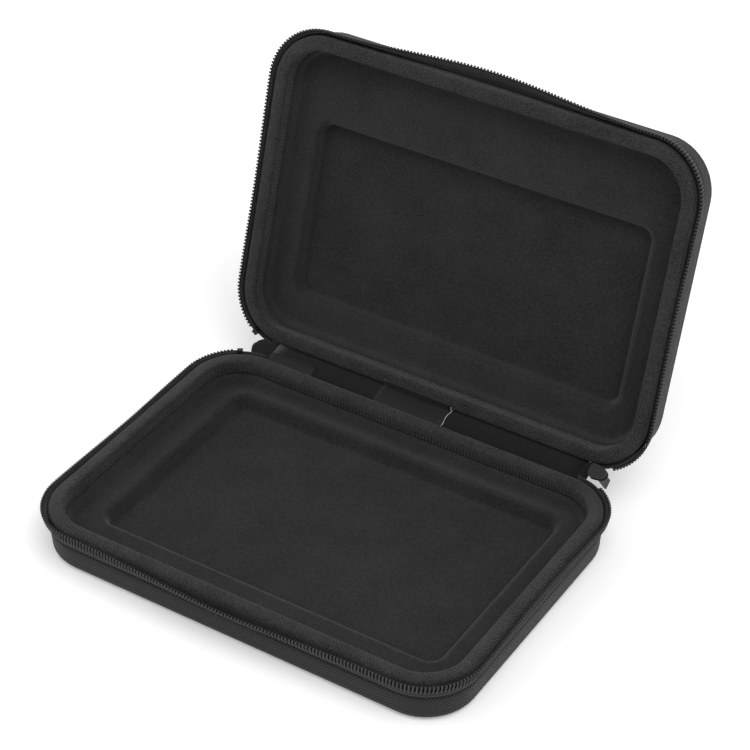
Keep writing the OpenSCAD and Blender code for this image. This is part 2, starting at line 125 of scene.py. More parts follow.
def lay_weave(bm, width, depth, radius):
    """UVs in millimetres: along the rim, and across the profile. Level faces take x and y instead."""
    across = bm.verts.layers.float.get("across")
    uv = bm.loops.layers.uv.new("weave")
    a, b = width / 2 - radius, depth / 2 - radius
    quarter = radius * math.pi / 2
    total = 4 * (a + b) + 4 * quarter

    def along(p):
        x, y = p.x, p.y
        if x > a and y > b:
            return 2 * b + radius * math.atan2(y - b, x - a)
        if x < -a and y > b:
            return 2 * b + quarter + 2 * a + radius * (math.atan2(y - b, x + a) - math.pi / 2)
        if x < -a and y < -b:
            return 4 * b + 2 * quarter + 2 * a + radius * (math.atan2(y + b, x + a) + math.pi)
        if x > a and y < -b:
            return total - quarter + radius * (math.atan2(y + b, x - a) + math.pi / 2)
        if abs(x) - a > abs(y) - b:
            return y + b if x > 0 else 2 * b + 2 * quarter + 2 * a + b - y
        return 2 * b + quarter + a - x if y > 0 else 4 * b + 3 * quarter + 3 * a + x

    for face in bm.faces:
        if len(face.verts) > 4:
            for loop in face.loops:
                loop[uv].uv = loop.vert.co.xy
            continue
        runs = [along(loop.vert.co) for loop in face.loops]
        for loop, run in zip(face.loops, runs):
            if max(runs) - run > total / 2:
                run += total
            loop[uv].uv = (run, loop.vert[across])


def make_piece(bm, name, material, body, nodes, place=to_metres, thickness=0.0):
    """Moves a finished mesh to its place and makes it a piece, which rides on a body if one is named."""
    bmesh.ops.transform(bm, matrix=place, verts=bm.verts)
    if place.determinant() < 0:
        bmesh.ops.reverse_faces(bm, faces=bm.faces)
    mesh = bpy.data.meshes.new(name)
    bm.to_mesh(mesh)
    bm.free()
    mesh.shade_smooth()
    mesh.materials.append(material)
    piece = bpy.data.objects.new(name, mesh)
    scene.collection.objects.link(piece)
    if thickness:
        wall = piece.modifiers.new("thickness", "SOLIDIFY")
        wall.thickness = thickness * 0.001
        wall.offset = -1
        wall.use_even_offset = True
    if body:
        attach(piece, body)
    if nodes:
        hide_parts(*nodes)
    return piece


def arc(cx, cz, radius, start, end, steps):
    """Points on an arc of a profile, with angles in degrees."""
    angles = [math.radians(start + (end - start) * i / steps) for i in range(steps + 1)]
    return [(cx + radius * math.cos(a), cz + radius * math.sin(a)) for a in angles]


def soft_step(out, more, z, drop, steps):
    """Points of a profile that goes outwards by more, in a soft S, while it drops."""
    return [(out + more * (1 - math.cos(math.pi * i / steps)) / 2, z - drop * i / steps)
            for i in range(steps + 1)]


def new_group(name, numbers, masks):
    """An empty node group: a Vector and named numbers go in, and named masks come out."""
    group = bpy.data.node_groups.new(name, "ShaderNodeTree")
    group.interface.new_socket(name="Vector", in_out="INPUT", socket_type="NodeSocketVector")
    for label, value in numbers.items():
        socket = group.interface.new_socket(name=label, in_out="INPUT", socket_type="NodeSocketFloat")
        socket.default_value = value
    for label in masks:
        group.interface.new_socket(name=label, in_out="OUTPUT", socket_type="NodeSocketFloat")
    return group, group.nodes.new("NodeGroupInput"), group.nodes.new("NodeGroupOutput")


def calc(tree, operation, a, b=None, c=None):
    """A Math node fed by numbers or sockets."""
    node = tree.nodes.new("ShaderNodeMath")
    node.operation = operation
    for i, value in enumerate((a, b, c)):
        if value is None:
            continue
        if isinstance(value, (int, float)):
            node.inputs[i].default_value = value
        else:
            tree.links.new(value, node.inputs[i])
    return node.outputs[0]


def axes_of(tree, vector):
    """A vector's separate axes."""
    node = tree.nodes.new("ShaderNodeSeparateXYZ")
    tree.links.new(vector, node.inputs[0])
    return node.outputs


# Plain weave: warp and weft cross over and under, so the height is a chequer of soft bumps.
plain_weave, inlet, outlet = new_group("plain weave", {"Yarn": 0.5}, ["Height"])
waves = []
for axis in axes_of(plain_weave, inlet.outputs["Vector"])[:2]:
    yarns = calc(plain_weave, "DIVIDE", axis, inlet.outputs["Yarn"])
    waves.append(calc(plain_weave, "SINE", calc(plain_weave, "MULTIPLY", yarns, math.pi)))
chequer = calc(plain_weave, "MULTIPLY", *waves)
plain_weave.links.new(calc(plain_weave, "MULTIPLY_ADD", chequer, 0.5, 0.5), outlet.inputs["Height"])

# Fibre grain: fine fuzz on a slower drift, which every finish here has at its own scale.
fibre_grain, inlet, outlet = new_group("fibre grain", {"Fine scale": 1500.0, "Drift scale": 60.0},
                                       ["Fine", "Drift"])
for scale, mask, detail in (("Fine scale", "Fine", 3.0), ("Drift scale", "Drift", 4.0)):
    noise = fibre_grain.nodes.new("ShaderNodeTexNoise")
    noise.inputs["Detail"].default_value = detail
    fibre_grain.links.new(inlet.outputs["Vector"], noise.inputs["Vector"])
    fibre_grain.links.new(inlet.outputs[scale], noise.inputs["Scale"])
    fibre_grain.links.new(noise.outputs["Fac"], outlet.inputs[mask])


def new_material(name, roughness, specular=0.5, sheen=0.0, sheen_roughness=0.5):
    """A Principled material and the parts of its tree that each finish fills in."""
    material = bpy.data.materials.new(name)
    material.use_nodes = True
    tree = material.node_tree
    shader = tree.nodes["Principled BSDF"]
    shader.inputs["Roughness"].default_value = roughness
    shader.inputs["Specular IOR Level"].default_value = specular
    shader.inputs["Sheen Weight"].default_value = sheen
    shader.inputs["Sheen Roughness"].default_value = sheen_roughness
    return material, tree, shader


def grain_node(tree, fine, drift):
    """Fibre grain on the piece's own coordinates, at two scales."""
    node = tree.nodes.new("ShaderNodeGroup")
    node.node_tree = fibre_grain
    where = tree.nodes.new("ShaderNodeTexCoord")
    tree.links.new(where.outputs["Object"], node.inputs["Vector"])
    node.inputs["Fine scale"].default_value = fine
    node.inputs["Drift scale"].default_value = drift
    return node


def weave_map(tree):
    """The piece's own UVs, which run along and across the cloth."""
    node = tree.nodes.new("ShaderNodeUVMap")
    node.uv_map = "weave"
    return node.outputs["UV"]


def weave_height(tree, weave, **values):
    """The height of a weave that follows the cloth."""
    node = tree.nodes.new("ShaderNodeGroup")
    node.node_tree = weave
    for name, value in values.items():
        node.inputs[name].default_value = value
    tree.links.new(weave_map(tree), node.inputs["Vector"])
    return node.outputs["Height"]


def colour_between(tree, factor, low, high, shader, spread=0.25):
    """Base colour between two greys, by a mask that varies about a half."""
    ramp = tree.nodes.new("ShaderNodeMapRange")
    tree.links.new(factor, ramp.inputs["Value"])
    ramp.inputs["From Min"].default_value = 0.5 - spread
    ramp.inputs["From Max"].default_value = 0.5 + spread
    mix = tree.nodes.new("ShaderNodeMix")
    mix.data_type = "RGBA"
    mix.inputs["A"].default_value = (*low, 1)
    mix.inputs["B"].default_value = (*high, 1)
    tree.links.new(ramp.outputs["Result"], mix.inputs["Factor"])
    tree.links.new(mix.outputs["Result"], shader.inputs["Base Color"])


def raise_surface(tree, height, distance, strength, shader):
    """Bump from a height, with its distance in metres."""
    bump = tree.nodes.new("ShaderNodeBump")
    bump.inputs["Distance"].default_value = distance
    bump.inputs["Strength"].default_value = strength
    tree.links.new(height, bump.inputs["Height"])
    tree.links.new(bump.outputs["Normal"], shader.inputs["Normal"])


skin_cloth, tree, shader = new_material("woven nylon skin", 0.8, 0.2, 0.12, 0.4)
weave = weave_height(tree, plain_weave, Yarn=0.95)
grain = grain_node(tree, 1400.0, 70.0)
yarn_height = calc(tree, "MULTIPLY_ADD", grain.outputs["Fine"], 0.35, weave)
tone = calc(tree, "MULTIPLY_ADD", yarn_height, 0.5, 0.1)
colour_between(tree, tone, (0.008, 0.008, 0.0085), (0.050, 0.050, 0.052), shader)
raise_surface(tree, yarn_height, 0.0003, 1.0, shader)

skin_out, swell, skin_edge_r = -1.65, 1.3, 5.2
skin_profile = ([(skin_out, 23.05), (skin_out, 20.0), (skin_out, 17.0)]
                + soft_step(skin_out, swell, 16.0, 2.5, 8)
                + [(-0.30, 12.0), (-0.38, 10.0), (-0.52, 8.0)]
                + arc(-5.85, skin_edge_r, skin_edge_r, 8, -90, 10))
for half in ("base", "lid"):
    bm = bmesh.new()
    ring(bm, skin_profile, case_w, case_d, corner_r)
    bmesh.ops.contextual_create(bm, geom=open_loop(bm, 0.0))
    face_out(bm, lambda n: n.z < 0)
    lay_weave(bm, case_w, case_d, corner_r)
    make_piece(bm, half + "_skin", skin_cloth, half, [half + "_cover"], place_of[half], 0.7)

# ---------------------------------------------------------------- Moulded foam
# Closed-cell foam that gives each half its stiffness, and the frame that makes the step.
# It is hidden between the skin and the lining.
foam, tree, shader = new_material("closed-cell foam", 0.9, 0.3)
grain = grain_node(tree, 2500.0, 200.0)
colour_between(tree, grain.outputs["Fine"], (0.03, 0.03, 0.03), (0.06, 0.06, 0.06), shader)
raise_surface(tree, grain.outputs["Fine"], 0.0001, 0.6, shader)


def dress(node, material):
    """Gives a CAD node its material. Its mesh and its place stay as they are."""
    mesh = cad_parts[node].data
    mesh.materials.clear()
    mesh.materials.append(material)


for half in ("base", "lid"):
    dress(half + "_foam", foam)
    dress(half + "_riser", foam)

# ---------------------------------------------------------------- Lining
# Brushed knit pressed over the foam in one piece: down the wall from the binding, over the step
# with soft edges, and across the floor of the recess. The recess walls and floor are darker by painted
# shade.
lining_cloth, tree, shader = new_material("brushed knit lining", 0.95, 0.08, 0.12, 0.6)
grain = grain_node(tree, 2400.0, 45.0)
mottle = grain_node(tree, 1100.0, 12.0)
nap = calc(tree, "MULTIPLY_ADD", mottle.outputs["Fine"], 0.5,
           calc(tree, "MULTIPLY", grain.outputs["Fine"], 0.5))


def vertex_mask(tree, name):
    """A mask that the piece's own vertices carry."""
    node = tree.nodes.new("ShaderNodeAttribute")
    node.attribute_name = name
    return node.outputs["Fac"]


drift = calc(tree, "MULTIPLY_ADD", grain.outputs["Drift"], 0.2, -0.07)
# Painted shade: a vertex mask darkens the recess walls and floor.
drift = calc(tree, "MULTIPLY_ADD", vertex_mask(tree, "pressed"), -0.06, drift)
tone = calc(tree, "ADD", nap, drift)
colour_between(tree, tone, (0.005, 0.005, 0.0052), (0.031, 0.031, 0.032), shader, 0.17)
raise_surface(tree, nap, 0.0003, 0.9, shader)

recess_w, recess_r, shelf_z, floor_z = 193.0, 7.0, 12.0, 5.0
recess_of = {"base": (55.0, 65.0), "lid": (37.0, 58.0)}
wall_foot_r, pressed_fade = 3.0, 1.5
wall_profile = ([(-6.66, 22.6), (-6.68, 20.0), (-6.72, 18.2)]
                + soft_step(-6.76, -2.1, 17.9, 2.0, 6)[1:]
                + [(-9.1, 15.4)]
                + arc(-12.6, shelf_z + wall_foot_r, wall_foot_r, -12, -90, 9))
edge_r, edge_lift, foot_r, foot_in = 3.6, 0.3, 2.6, 3.4
recess_profile = ([(edge_r - edge_lift + 1.2, shelf_z)]
                  + arc(edge_r - edge_lift, shelf_z + edge_lift - edge_r, edge_r, 90, 162, 12)
                  + arc(-foot_in, floor_z + foot_r, foot_r, -18, -90, 8))
for half in ("base", "lid"):
    front, back = recess_of[half]
    bm = bmesh.new()
    ring(bm, wall_profile, case_w, case_d, corner_r)
    ring(bm, recess_profile, recess_w, front + back, recess_r, (back - front) / 2)
    bmesh.ops.bridge_loops(bm, edges=open_loop(bm, shelf_z))
    bmesh.ops.contextual_create(bm, geom=open_loop(bm, floor_z))
    # Mask of painted shade: 0 on the shelf, rising to 1 a little below it, over the recess walls and floor.
    pressed = bm.verts.layers.float.new("pressed")
    for vert in bm.verts:
        vert[pressed] = max(0.0, min(1.0, (shelf_z - vert.co.z) / pressed_fade))
    face_out(bm, lambda n: n.z > 0)
    lay_weave(bm, case_w, case_d, corner_r)
    make_piece(bm, half + "_lining_cloth", lining_cloth, half, [half + "_lining"],
               place_of[half], 0.8)

# ---------------------------------------------------------------- Rim binding
# Twill tape folded over the raw edges of skin, foam and lining and sewn through. It puckers
# a little on the inside of each corner.
twill, inlet, outlet = new_group("twill", {"Rib": 1.3, "Slope": 0.8}, ["Height"])
axes = axes_of(twill, inlet.outputs["Vector"])
slanted = calc(twill, "ADD", axes[0], calc(twill, "MULTIPLY", axes[1], inlet.outputs["Slope"]))
rib = calc(twill, "DIVIDE", slanted, inlet.outputs["Rib"])
rib = calc(twill, "SINE", calc(twill, "MULTIPLY", rib, 2 * math.pi))
yarn = calc(twill, "DIVIDE", axes[1], inlet.outputs["Rib"])
yarn = calc(twill, "SINE", calc(twill, "MULTIPLY", yarn, 5 * math.pi))
height = calc(twill, "ADD", calc(twill, "MULTIPLY_ADD", rib, 0.4, 0.5), calc(twill, "MULTIPLY", yarn, 0.1))
twill.links.new(height, outlet.inputs["Height"])


def twill_cloth(name, low, high, rib_mm, slope, roughness=0.8, sheen=0.12, relief=0.00018, speckle=1.0,
                rungs_from=None):
    """A ribbed tape whose weave follows its own length, with stitched rungs past a place on its profile."""
    material, tree, shader = new_material(name, roughness, 0.15, sheen, 0.4)
    pattern = weave_height(tree, twill, Rib=rib_mm, Slope=slope)
    fuzz = grain_node(tree, 1500.0, 60.0)
    if rungs_from is not None:
        rungs = calc(tree, "MULTIPLY_ADD", weave_height(tree, twill, Rib=1.9, Slope=0.0), 0.8, 0.05)
        inside = calc(tree, "GREATER_THAN", axes_of(tree, weave_map(tree))[1], rungs_from)
        pattern = calc(tree, "MULTIPLY_ADD", inside, calc(tree, "SUBTRACT", rungs, pattern), pattern)
    centred = calc(tree, "ADD", pattern, 0.5 - speckle / 2)
    height = calc(tree, "MULTIPLY_ADD", fuzz.outputs["Fine"], speckle, centred)
    drift = calc(tree, "MULTIPLY_ADD", fuzz.outputs["Drift"], 0.3, -0.1)
    tone = calc(tree, "ADD", calc(tree, "MULTIPLY", height, 0.45), drift)
    colour_between(tree, tone, low, high, shader, 0.18)
    raise_surface(tree, height, relief, 0.9, shader)
    return material


binding_cloth = twill_cloth("twill binding", (0.002, 0.002, 0.0021), (0.056, 0.056, 0.057), 1.05, 0.9,
                            relief=0.0003, speckle=2.4, rungs_from=17.5)
binding_w, outer_leg, inner_leg, fold_h = 7.6, 8.0, 7.5, 2.6


def over_fold(angle, proud=0.0):
    """A point on the binding's folded top, which is squarer than an ellipse, or a little proud of it."""
    across = math.copysign(abs(math.cos(angle)) ** 0.7, math.cos(angle))
    up = math.sin(angle) ** 0.65
    return (binding_w / 2 + proud) * across - binding_w / 2, half_h - fold_h + (fold_h + proud) * up


outer_foot, inner_foot = half_h - outer_leg, half_h - inner_leg
binding_profile = ([(-0.25, outer_foot + 0.05), (0.0, outer_foot + 0.35), (-0.12, outer_foot + 1.4),
                    (0.05, outer_foot + 3.0)]
                   + [over_fold(math.pi * i / 16) for i in range(17)]
                   + [(-binding_w - 0.02, half_h - 4.4), (-binding_w + 0.1, inner_foot + 1.5),
                      (-binding_w - 0.02, inner_foot + 0.4), (-binding_w + 0.22, inner_foot + 0.05)])
pucker_depth, pucker_from, pucker_fade, pucker_waves, pucker_slant = 0.5, 3.0, 4.0, 15, 0.35
for half in ("base", "lid"):
    bm = bmesh.new()
    ring(bm, binding_profile, case_w, case_d, corner_r, steps=(20, 40, 28))
    a, b = case_w / 2 - corner_r, case_d / 2 - corner_r
    for vert in bm.verts:
        dx, dy = abs(vert.co.x) - a, abs(vert.co.y) - b
        if dx > 0 and dy > 0:
            reach, turned = math.hypot(dx, dy), math.atan2(dy, dx)
            inside = max(0.0, min(1.0, (corner_r - pucker_from - reach) / pucker_fade))
            wave = math.sin(turned * pucker_waves + vert.co.z * pucker_slant)
            pucker = pucker_depth * inside * math.sin(2 * turned) * wave
            vert.co.x -= math.copysign(pucker * dx / reach, vert.co.x)
            vert.co.y -= math.copysign(pucker * dy / reach, vert.co.y)
    face_out(bm, lambda n: n.z > 0, lambda face: face.calc_center_median().z)
    lay_weave(bm, case_w, case_d, corner_r)
    make_piece(bm, half + "_binding_tape", binding_cloth, half, [half + "_binding"],
               place_of[half], 0.85)

# ---------------------------------------------------------------- Zip tapes
# Knitted tape sewn under the outer leg of the binding. It turns out and up from there, and leans
# outwards most of all along the front and least along the two sides.
zip_flare = 2.6
zip_a, zip_b, zip_r = case_w / 2 + zip_flare, case_d / 2 + zip_flare, corner_r + zip_flare
zip_end_turn, tail_turn = math.radians(61), math.radians(88)
bows = {"base": (3.2, -1.2), "lid": (5.0, -0.8)}
seam_out, seam_z, tooth_top = 0.75, outer_foot - 0.3, closing_z - 0.45
tape_w = math.hypot(zip_flare - seam_out, tooth_top - seam_z)


def bulge(u, most):
    """How much further a straight run's edge stands off, at a share of the run's length."""
    return most * (1 - math.cos(2 * math.pi * max(0.0, min(1.0, u)))) / 2


def lean(out):
    """The tape keeps its width, so it leans outwards by as much as its edge stands off."""
    return math.asin((out - seam_out) / tape_w)


def on_tape(out, along, off):
    """Offset and height of a point along the leaning tape and out from its outer face."""
    a = lean(out)
    return (seam_out + along * math.sin(a) + off * math.cos(a),
            seam_z + along * math.cos(a) - off * math.sin(a))


def zip_ring(bm, fixed, leaning, half, closed=False, end_turn=zip_end_turn):
    """Carries a cross-section along the zip, from the back right corner round the front to the back left.
    The fixed points keep to the seam and the leaning ones, given along and off the tape, follow its edge."""
    a, b, quarter = case_w / 2 - corner_r, case_d / 2 - corner_r, math.pi / 2
    shares = [bm.verts.layers.float.new(name) for name in ("leans", "tape along", "tape off")]
    section = fixed + [on_tape(zip_flare, *point) for point in leaning]
    geom = cross_section(bm, section, a + corner_r, b, closed)
    verts = [g for g in geom if isinstance(g, bmesh.types.BMVert)]
    for vert, point in zip(verts[len(fixed):], leaning):
        vert[shares[0]], vert[shares[1]], vert[shares[2]] = 1.0, *point
    bmesh.ops.rotate(bm, cent=(a, b, 0), matrix=Matrix.Rotation(end_turn, 3, "Z"), verts=verts)
    geom = carry(bm, geom, 12, centre=(a, b, 0), turn=-end_turn)
    legs = [((0, -2 * b), 30, (a, -b), quarter, 20), ((-2 * a, 0), 48, (-a, -b), quarter, 20),
            ((0, 2 * b), 30, (-a, b), end_turn, 12)]
    for along, along_steps, corner, turned, turn_steps in legs:
        geom = carry(bm, geom, along_steps, along=(*along, 0))
        geom = carry(bm, geom, turn_steps, centre=(*corner, 0), turn=-turned)
    front, side = bows[half]
    for vert in bm.verts:
        x, y = vert.co.x, vert.co.y
        on_front, on_side = abs(x) < a and y < 0, abs(y) < b and abs(x) > a
        if vert[shares[0]] > 0.5 and (on_front or on_side):
            more = bulge((a - x) / (2 * a), front) if on_front else bulge((b - y) / (2 * b), side)
            point = (vert[shares[1]], vert[shares[2]])
            before, after = on_tape(zip_flare, *point), on_tape(zip_flare + more, *point)
            vert.co.z = after[1]
            if on_front:
                vert.co.y -= after[0] - before[0]
            else:
                vert.co.x += (after[0] - before[0]) * math.copysign(1, x)


zip_end, zip_quarter = zip_r * zip_end_turn, zip_r * math.pi / 2
zip_length = 2 * (zip_end + 2 * (zip_b - zip_r) + zip_quarter) + 2 * (zip_a - zip_r)


def zip_place(s, half):
    """Place, outward heading and stand-off of the tape's edge at a distance along the zip."""
    if s > zip_length / 2:
        x, y, heading, out = zip_place(zip_length - s, half)
        return -x, y, math.pi - heading, out
    a, b = zip_a - zip_r, zip_b - zip_r
    front, side = bows[half]
    if s < zip_end:
        heading = zip_end_turn - s / zip_r
        return a + zip_r * math.cos(heading), b + zip_r * math.sin(heading), heading, zip_flare
    s -= zip_end
    if s < 2 * b:
        more = bulge(s / (2 * b), side)
        return zip_a + more, b - s, 0.0, zip_flare + more
    s -= 2 * b
    if s < zip_quarter:
        heading = -s / zip_r
        return a + zip_r * math.cos(heading), -b + zip_r * math.sin(heading), heading, zip_flare
    s -= zip_quarter
    more = bulge(s / (2 * a), front)
    return a - s, -zip_b - more, -math.pi / 2, zip_flare + more


tape_cloth = twill_cloth("knitted zip tape", (0.010, 0.010, 0.0105), (0.042, 0.042, 0.043), 1.1, 0.5,
                         roughness=0.85, relief=0.00015)
tooth_len, tape_mid = 4.6, -0.27
seam_part = [(-1.28, half_h - 4.0), (-1.28, seam_z + 0.6), (-1.2, seam_z - 0.05), (-0.85, seam_z - 0.42),
             (-0.2, seam_z - 0.42), (0.3, seam_z - 0.2)]
face_part = [(along, tape_mid)
             for along in (0.9, 2.0, 3.2, tape_w - tooth_len, tape_w - 2.4, tape_w - 0.9)]
for half in ("base", "lid"):
    bm = bmesh.new()
    zip_ring(bm, seam_part, face_part, half, end_turn=tail_turn)
    lay_weave(bm, case_w, case_d, corner_r)
    bmesh.ops.recalc_face_normals(bm, faces=bm.faces)
    piece = make_piece(bm, half + "_zip_cloth", tape_cloth, half, [half + "_zip_tape"],
                       place_of[half], 0.5)
    piece.modifiers["thickness"].offset = 0

# ---------------------------------------------------------------- Zip coils
# Nylon monofilament wound into a flat coil and sewn to the tape's outer face. Each turn shows as a
# bar with a thick rounded head at the edge that meets the other half. Its colour is lighter on the
# outer face and head as a painted highlight, and dark on the flanks towards the tape as painted shade.
coil_nylon, tree, shader = new_material("nylon coil", 0.5, 0.22)
grain = grain_node(tree, 900.0, 90.0)
# Painted highlight and painted shade: a vertex mask lightens each bar's outer face and head and darkens its
# flanks, with random drift on top.
painted_shading_and_drift = calc(tree, "MULTIPLY_ADD", vertex_mask(tree, "crest"), 0.5,
            calc(tree, "MULTIPLY_ADD", grain.outputs["Drift"], 0.2, 0.15))
colour_between(tree, painted_shading_and_drift, (0.003, 0.003, 0.0031), (0.042, 0.042, 0.043), shader)
raise_surface(tree, grain.outputs["Fine"], 0.00003, 0.4, shader)

tooth_pitch, tooth_off, tooth_slant = 1.85, 0.68, 0.5
first_tooth, stop_len, stop_gap = 0.78, 3.0, 0.4
tooth = bmesh.new()
bar = [(0.0, 0.38), (0.14, 0.52), (1.2, 0.50), (2.8, 0.50), (3.5, 0.54), (4.0, 0.66), (4.4, 0.60),
       (tooth_len, 0.30)]
geom = [tooth.verts.new((radius, 0, z)) for z, radius in bar]
geom += [tooth.edges.new(pair) for pair in zip(geom, geom[1:])]
bmesh.ops.spin(tooth, geom=geom, cent=(0, 0, 0), axis=(0, 0, 1), angle=2 * math.pi, steps=8, use_merge=True)
for z in (0.0, tooth_len):
    bmesh.ops.contextual_create(tooth, geom=open_loop(tooth, z))
# Mask of painted light: 1 on the outer face and head of each bar, 0 on the flanks, which stay dark as
# painted shade.
crest = tooth.verts.layers.float.new("crest")
for vert in tooth.verts:
    face_share = (vert.co.x - 0.05) / 0.4
    head_share = 0.8 * (vert.co.z - 3.7) / 0.7
    vert[crest] = max(0.0, min(1.0, max(face_share, head_share)))
    vert.co.x *= 1.2
    vert.co.y -= tooth_slant * (1 - vert.co.z / tooth_len)
bmesh.ops.recalc_face_normals(tooth, faces=tooth.faces)
tooth_mesh = bpy.data.meshes.new("tooth")
tooth.to_mesh(tooth_mesh)
tooth.free()
tooth_count = int((zip_length - stop_len - 2 * first_tooth - stop_gap) / tooth_pitch) + 1
for half in ("base", "lid"):
    bm = bmesh.new()
    for i in range(tooth_count):
        x, y, heading, out = zip_place(first_tooth + i * tooth_pitch, half)
        back = out - seam_out
        before = len(bm.verts)
        bm.from_mesh(tooth_mesh)
        bm.verts.ensure_lookup_table()
        spot = (Matrix.Translation((x - back * math.cos(heading), y - back * math.sin(heading), seam_z))
                @ Matrix.Rotation(heading, 4, "Z") @ Matrix.Rotation(lean(out), 4, "Y")
                @ Matrix.Translation((tooth_off, 0, tape_w - tooth_len)))
        bmesh.ops.transform(bm, matrix=spot, verts=bm.verts[before:])
    make_piece(bm, half + "_coil", coil_nylon, half, [half + "_zip_coil"], place_of[half])
bpy.data.meshes.remove(tooth_mesh)

# A flat filler cord runs through the turns of each coil. Its near-black colour, darker than the coil, is
# painted shade between the turns.
cord_painted_shade, tree, shader = new_material("filler cord", 0.9, 0.1)
grain = grain_node(tree, 3000.0, 400.0)
colour_between(tree, grain.outputs["Fine"], (0.002, 0.002, 0.0021), (0.006, 0.006, 0.0062), shader)
raise_surface(tree, grain.outputs["Fine"], 0.00008, 0.8, shader)
cord_low, cord_high, cord_round = tape_w - tooth_len + 0.25, tape_w - 0.55, 0.15
cord_in, cord_mid, cord_out = 0.04, 0.25, 0.45
cord_section = [(cord_low, cord_in), (cord_high, cord_in), (cord_high + cord_round, cord_mid),
                (cord_high, cord_out), (cord_low, cord_out), (cord_low - cord_round, cord_mid)]
for half in ("base", "lid"):
    bm = bmesh.new()
    zip_ring(bm, [], cord_section, half, closed=True)
    bmesh.ops.holes_fill(bm, edges=[e for e in bm.edges if e.is_boundary])
    bmesh.ops.recalc_face_normals(bm, faces=bm.faces)
    make_piece(bm, half + "_coil_core", cord_painted_shade, half, [], place_of[half])

# ---------------------------------------------------------------- End stops
# A small clip, moulded from the coil's nylon, closes the left end of each tape after the last tooth.
for half in ("base", "lid"):
    dress(half + "_zip_stop", coil_nylon)

# ---------------------------------------------------------------- Hinge cloths
# Two layers of woven tape bridge the two backs: the liner lies on the binding's outer legs and the
# spine behind it reaches down to the skins. Both dip between the halves and are bent to the open lid.
back_face, hinge_half_w = case_d / 2 + 0.15, 93.0
leg_foot, leg_top, handle_z, fold_z = outer_foot + 0.6, half_h - 4, half_h - 1.8, half_h - 2.0


def lid_point(y, z):
    """Where a point of the back, in y and z, comes to on the lid."""
    point = on_lid @ Vector((0, y, z))
    return Vector((point.y, point.z))


def valley(lift=0.0, steps=16):
    """The hinge's path in y and z from the base's back leg to the lid's, moved up by a lift."""
    a, b = Vector((back_face, leg_top)), Vector((back_face, handle_z))
    c, d = lid_point(back_face, handle_z), lid_point(back_face, leg_top)
    points = []
    for i in range(steps + 1):
        t = i / steps
        p = (1 - t) ** 3 * a + 3 * t * (1 - t) ** 2 * b + 3 * t * t * (1 - t) * c + t ** 3 * d
        slope = (b - a) * (1 - t) ** 2 + 2 * (c - b) * t * (1 - t) + (d - c) * t * t
        normal = Vector((-slope.y, slope.x)).normalized()
        points.append(p + lift * normal)
    return points


def cloth_strip(path, x_from, x_to, steps=24):
    """A strip of cloth that follows a path in y and z, as wide as x_from to x_to."""
    bm = bmesh.new()
    across = bm.verts.layers.float.new("across")
    run, verts = 0.0, []
    for i, p in enumerate(path):
        run += (p - path[i - 1]).length if i else 0.0
        vert = bm.verts.new((x_from, p.x, p.y))
        vert[across] = run
        verts.append(vert)
    geom = verts + [bm.edges.new(pair) for pair in zip(verts, verts[1:])]
    carry(bm, geom, steps, along=(x_to - x_from, 0, 0))
    uv = bm.loops.layers.uv.new("weave")
    for face in bm.faces:
        for loop in face.loops:
            loop[uv].uv = (loop.vert.co.x, loop.vert[across])
    face_out(bm, lambda n: n.z > 0, lambda face: -abs(face.calc_center_median().y - hinge_y))
    return bm


def bend_piece(bm, name, material, nodes, thickness=0.0):
    """A piece shaped along the base before the fold and along the open lid after it, bent in between. It
    rides on no body.
    """
    piece = make_piece(bm, name, material, None, nodes, thickness=thickness)
    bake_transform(piece)
    return piece


# The hinge tape's dark colour is its own, made darker still as painted shade of the valley between the
# halves.
hinge_tape_painted_dark = twill_cloth("hinge tape", (0.003, 0.003, 0.0032), (0.011, 0.011, 0.0115), 0.9, 0.0,
                          roughness=0.85, sheen=0.25, relief=0.00012)
liner_path = [Vector((back_face, leg_foot))] + valley() + [lid_point(back_face, leg_foot)]
liner = bend_piece(cloth_strip(liner_path, -hinge_half_w, hinge_half_w), "hinge_liner_cloth", hinge_tape_painted_dark,
                   ["hinge_liner"], thickness=0.6)
spine_back = [(back_face + 0.25, 11.0), (back_face + 0.35, 14.2), (back_face + 0.6, leg_foot - 1.4),
              (back_face + 0.75, leg_foot)]
spine_path = [Vector(p) for p in spine_back] + valley(-0.72) + [lid_point(*p) for p in reversed(spine_back)]
spine = bend_piece(cloth_strip(spine_path, -hinge_half_w, hinge_half_w), "hinge_spine_cloth", skin_cloth,
                   ["hinge_spine"], thickness=0.6)

# ---------------------------------------------------------------- Label and care tag
# A bare satin label spans the hinge near its middle, and a small bare tag is sewn to the base's side
# of it on the left. A pale seam thread lies along the label's right edge.
satin = twill_cloth("label satin", (0.005, 0.005, 0.0052), (0.020, 0.020, 0.0205), 0.5, 0.0,
                    roughness=0.5, sheen=0.1, relief=0.00006)
label_left, label_right, tag_left, tag_right = -27.0, 14.0, -93.0, -65.0
label_lift, label_proud, thread_lift = 0.45, 0.5, 0.75
shoulder = [over_fold(math.radians(t), label_proud) for t in (6, 22, 40, 56, 72, 84)]
shoulder = [(case_d / 2 + out, z) for out, z in shoulder]
label_path = valley(label_lift)[2:13] + [lid_point(*p) for p in shoulder]
label = bend_piece(cloth_strip(label_path, label_left, label_right, 12), "bare_label", satin,
                   ["woven_label"], thickness=0.35)
bend_piece(cloth_strip(valley(label_lift)[2:9], tag_left, tag_right, 8), "bare_tag", satin,
           ["care_tag"], thickness=0.35)

